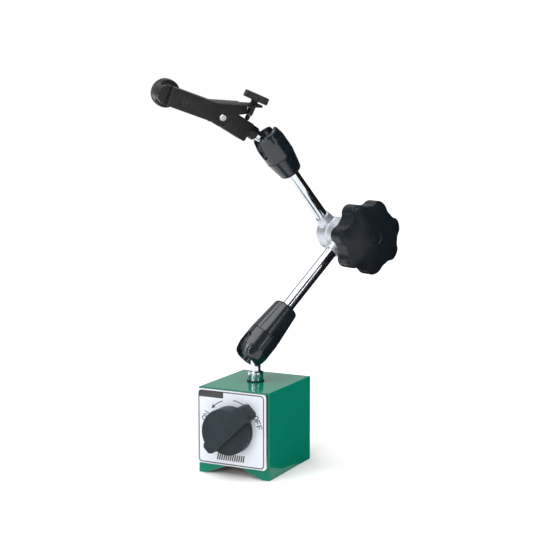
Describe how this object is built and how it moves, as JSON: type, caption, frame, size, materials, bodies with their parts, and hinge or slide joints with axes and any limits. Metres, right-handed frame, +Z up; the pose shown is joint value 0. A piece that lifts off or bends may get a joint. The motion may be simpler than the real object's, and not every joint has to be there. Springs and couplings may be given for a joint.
{
  "type": "magnetic base indicator stand",
  "caption": "Switchable magnetic block with a two-rod arm on ball joints, one star knob locking all three joints, and a fine-adjust clamp for an indicator stem.",
  "frame": {"origin": "centre of the magnetic block's footprint, on its underside", "axes": "+Z up along the ball post, the switch and its plate face -Y, the V groove runs along Y"},
  "size_m": [0.1297, 0.1271, 0.2476],
  "materials": {
    "green_paint": "gloss enamel",
    "brass": "machined",
    "plate_metal": "satin, sheared edges",
    "label_white": "satin print",
    "zinc_screws": "bright",
    "cover_steel": "satin black",
    "foot_black": "matt",
    "magnet": "ground",
    "steel": "machined",
    "switch_black": "satin moulded",
    "black_oxide": "black oxide, satin",
    "chrome": "bright",
    "gloss_black": "gloss lacquer",
    "satin_chrome": "satin",
    "knob_black": "satin moulded"
  },
  "bodies": {
    "base": {"left_yoke": "green_paint", "right_yoke": "green_paint", "upper_spacer": "brass", "lower_spacer": "brass", "front_bush": "brass", "rear_bush": "brass", "front_plate": "plate_metal", "label_sheet": "label_white", "plate_screws": "zinc_screws", "rear_cover": "cover_steel", "rear_cover_screws": "zinc_screws", "foot_ring": "foot_black"},
    "switch": {"rotor_magnet": "magnet", "rotor_shaft": "steel", "switch_knob": "switch_black", "switch_grub_screw": "black_oxide", "detent_ball": "steel", "detent_spring": "steel"},
    "ball_post": {"lower_ball_post": "chrome"},
    "lower_arm": {"lower_ball_housing": "gloss_black", "lower_sleeve": "gloss_black", "lower_rod": "chrome", "lower_hub": "satin_chrome"},
    "lower_pusher": {"lower_push_rod": "steel", "lower_ball_cup": "steel"},
    "upper_arm": {"upper_hub": "satin_chrome", "friction_washer": "steel", "upper_rod": "chrome", "upper_sleeve": "gloss_black", "upper_ball_housing": "gloss_black"},
    "upper_pusher": {"upper_push_rod": "steel", "upper_ball_cup": "steel"},
    "clamp_bolt": {"elbow_bolt": "steel", "back_cone": "steel"},
    "clamp_front": {"front_cone": "steel", "clamp_cap": "satin_chrome", "thrust_washer": "brass"},
    "lock_knob": {"star_knob": "knob_black", "knob_insert": "brass", "knob_plug": "knob_black"},
    "ball_stud": {"upper_ball_stud": "chrome"},
    "holder": {"stud_lock_nut": "black_oxide", "holder_block": "black_oxide", "leaf_spring": "steel", "pivot_pin": "zinc_screws"},
    "channel": {"holder_channel": "black_oxide", "stem_block": "black_oxide", "stem_block_rivet": "zinc_screws"},
    "fine_tip": {"adjust_tip": "black_oxide"},
    "fine_screw": {"adjust_screw": "black_oxide", "adjust_head": "black_oxide"},
    "stem_clamp": {"clamp_washer": "black_oxide"},
    "stem_knob": {"clamp_screw": "steel", "clamp_knob": "black_oxide"}
  },
  "joints": [
    {"name": "switch_turn", "type": "hinge", "parent": "base", "child": "switch", "pos_m": [0, -0.033, 0.0305], "axis": [0, -1, 0], "range_deg": [0, 90]},
    {"name": "post_swivel", "type": "hinge", "parent": "base", "child": "ball_post", "pos_m": [0, 0, 0.0772], "axis": [0, 0, 1], "continuous": true},
    {"name": "lower_tilt", "type": "hinge", "parent": "ball_post", "child": "lower_arm", "pos_m": [0, 0, 0.0772], "axis": [0.8554, -0.518, 0], "range_deg": [-44.8, 90]},
    {"name": "elbow_turn", "type": "hinge", "parent": "lower_arm", "child": "upper_arm", "pos_m": [0.03602, 0.05948, 0.14625], "axis": [-0.8554, 0.518, 0], "range_deg": [-65, 170]},
    {"name": "upper_tilt", "type": "hinge", "parent": "upper_arm", "child": "ball_stud", "pos_m": [-0.00015, 0.02388, 0.2055], "axis": [0.8554, -0.518, 0], "range_deg": [-111, 68]},
    {"name": "holder_roll", "type": "hinge", "parent": "ball_stud", "child": "holder", "pos_m": [-0.00015, 0.02388, 0.2055], "axis": [-0.4553, -0.7517, 0.4772], "continuous": true},
    {"name": "knob_turn", "type": "hinge", "parent": "clamp_front", "child": "lock_knob", "pos_m": [0.03602, 0.05948, 0.14625], "axis": [0.8554, -0.518, 0], "range_deg": [0, 725]},
    {"name": "clamp_front_slide", "type": "slide", "parent": "lower_arm", "child": "clamp_front", "axis": [0.8554, -0.518, 0], "range_m": [0, 0.00125]},
    {"name": "clamp_bolt_slide", "type": "slide", "parent": "upper_arm", "child": "clamp_bolt", "axis": [-0.8554, 0.518, 0], "range_m": [0, 0.0013]},
    {"name": "lower_pusher_slide", "type": "slide", "parent": "lower_arm", "child": "lower_pusher", "axis": [0.3676, 0.6069, 0.7046], "range_m": [0, 0.00075]},
    {"name": "upper_pusher_slide", "type": "slide", "parent": "upper_arm", "child": "upper_pusher", "axis": [0.3309, 0.5464, -0.7694], "range_m": [0, 0.00075]},
    {"name": "fine_tilt", "type": "hinge", "parent": "holder", "child": "channel", "pos_m": [-0.02126, -0.00989, 0.22435], "axis": [0.7778, -0.5966, -0.1977], "range_deg": [-3.6, 2]},
    {"name": "fine_screw_travel", "type": "slide", "parent": "channel", "child": "fine_tip", "axis": [-0.3657, -0.1738, -0.9144], "range_m": [-0.0012, 0.00067]},
    {"name": "fine_screw_turn", "type": "hinge", "parent": "fine_tip", "child": "fine_screw", "pos_m": [-0.00967, 0.00621, 0.22138], "axis": [-0.3657, -0.1738, -0.9144], "range_deg": [-541, 301]},
    {"name": "stem_clamp_travel", "type": "slide", "parent": "channel", "child": "stem_clamp", "axis": [-0.7778, 0.5966, 0.1977], "range_m": [0, 0.0012]},
    {"name": "stem_clamp_turn", "type": "hinge", "parent": "stem_clamp", "child": "stem_knob", "pos_m": [-0.03832, -0.03585, 0.23558], "axis": [-0.7778, 0.5966, 0.1977], "range_deg": [0, 541]}
  ],
  "couplings": [
    {"joint": "knob_turn", "follows": "clamp_front_slide", "rad_per_m": 10053},
    {"joint": "clamp_bolt_slide", "follows": "clamp_front_slide", "ratio": 1},
    {"joint": "lower_pusher_slide", "follows": "clamp_front_slide", "ratio": 0.57735},
    {"joint": "upper_pusher_slide", "follows": "clamp_front_slide", "ratio": 0.57735},
    {"joint": "fine_screw_turn", "follows": "fine_screw_travel", "rad_per_m": 7854},
    {"joint": "fine_tilt", "follows": "fine_screw_travel", "rad_per_m": 51.043},
    {"joint": "stem_clamp_turn", "follows": "stem_clamp_travel", "rad_per_m": 7854}
  ]
}
